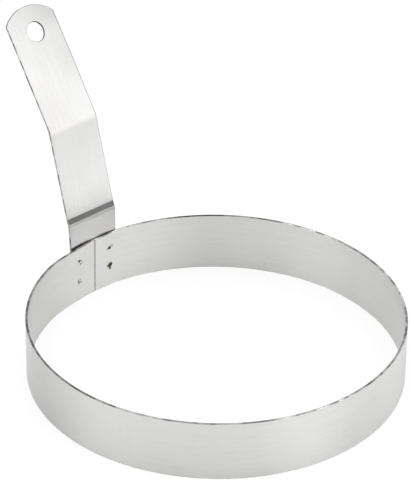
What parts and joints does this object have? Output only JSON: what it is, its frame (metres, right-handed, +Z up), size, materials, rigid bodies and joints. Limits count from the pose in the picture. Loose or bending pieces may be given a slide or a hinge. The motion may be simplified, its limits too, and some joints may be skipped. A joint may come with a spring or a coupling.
{
  "type": "egg ring",
  "caption": "Round sheet steel egg ring with an upright folded strip handle, spot welded over the band's butt seam.",
  "frame": {"origin": "middle of the whole part's footprint, on the surface that the ring's lower edge rests on", "axes": "+Z up along the ring's axis; the handle rises on the -X side; +X runs from the handle across the ring"},
  "size_m": [0.195, 0.1524, 0.1171],
  "materials": {
    "band_steel": "satin stainless sheet with a fine grain along the strip",
    "handle_steel": "satin stainless sheet with a fine grain along the handle",
    "weld_steel": "dull, heat-darkened weld metal"
  },
  "bodies": {
    "root": {"ring_band": "band_steel", "handle": "handle_steel", "spot_weld_upper_left": "weld_steel", "spot_weld_lower_left": "weld_steel", "spot_weld_upper_right": "weld_steel", "spot_weld_lower_right": "weld_steel"}
  },
  "joints": []
}
